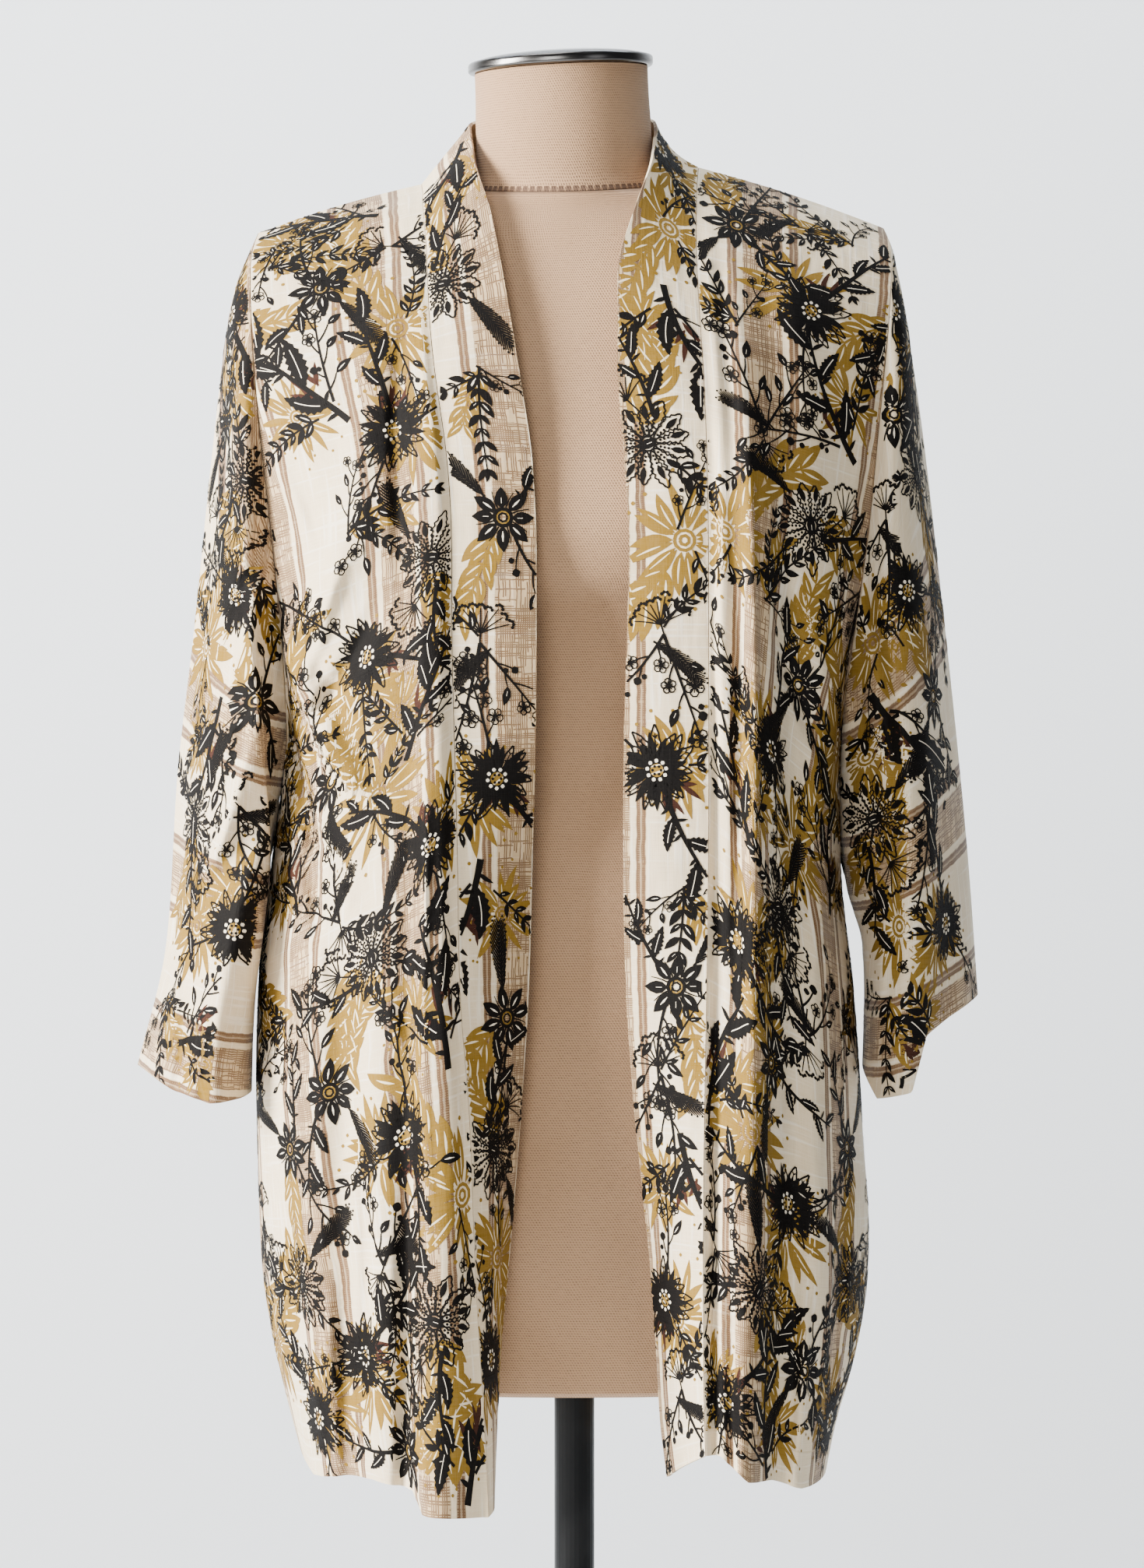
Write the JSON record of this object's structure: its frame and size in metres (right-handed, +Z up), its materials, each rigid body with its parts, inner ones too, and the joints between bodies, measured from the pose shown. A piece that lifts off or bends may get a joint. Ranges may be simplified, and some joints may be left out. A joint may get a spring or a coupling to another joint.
{
  "type": "kimono jacket on dress form",
  "caption": "Open kimono jacket with wide three-quarter sleeves and a long neckband, hanging on a limbless dress form with a metal neck cap, a pole and a round base.",
  "frame": {"origin": "centre of the base's flat underside, on the floor", "axes": "+Z up along the pole to the neck cap, -Y towards the front of the jacket, +X towards the wearer's left"},
  "size_m": [0.5024, 0.37, 1.3486],
  "materials": {
    "printed_cloth": "matt slubbed viscose, printed",
    "form_cover": "matt woven linen cover",
    "cap_metal": "dark polished steel",
    "stand_paint": "satin black paint"
  },
  "bodies": {
    "root": {"back": "printed_cloth", "front_right": "printed_cloth", "front_left": "printed_cloth", "sleeve_right": "printed_cloth", "sleeve_left": "printed_cloth", "band_right": "printed_cloth", "band_left": "printed_cloth", "form_torso": "form_cover", "form_neck": "form_cover", "neck_cap": "cap_metal", "pole": "stand_paint", "base": "stand_paint"}
  },
  "joints": []
}
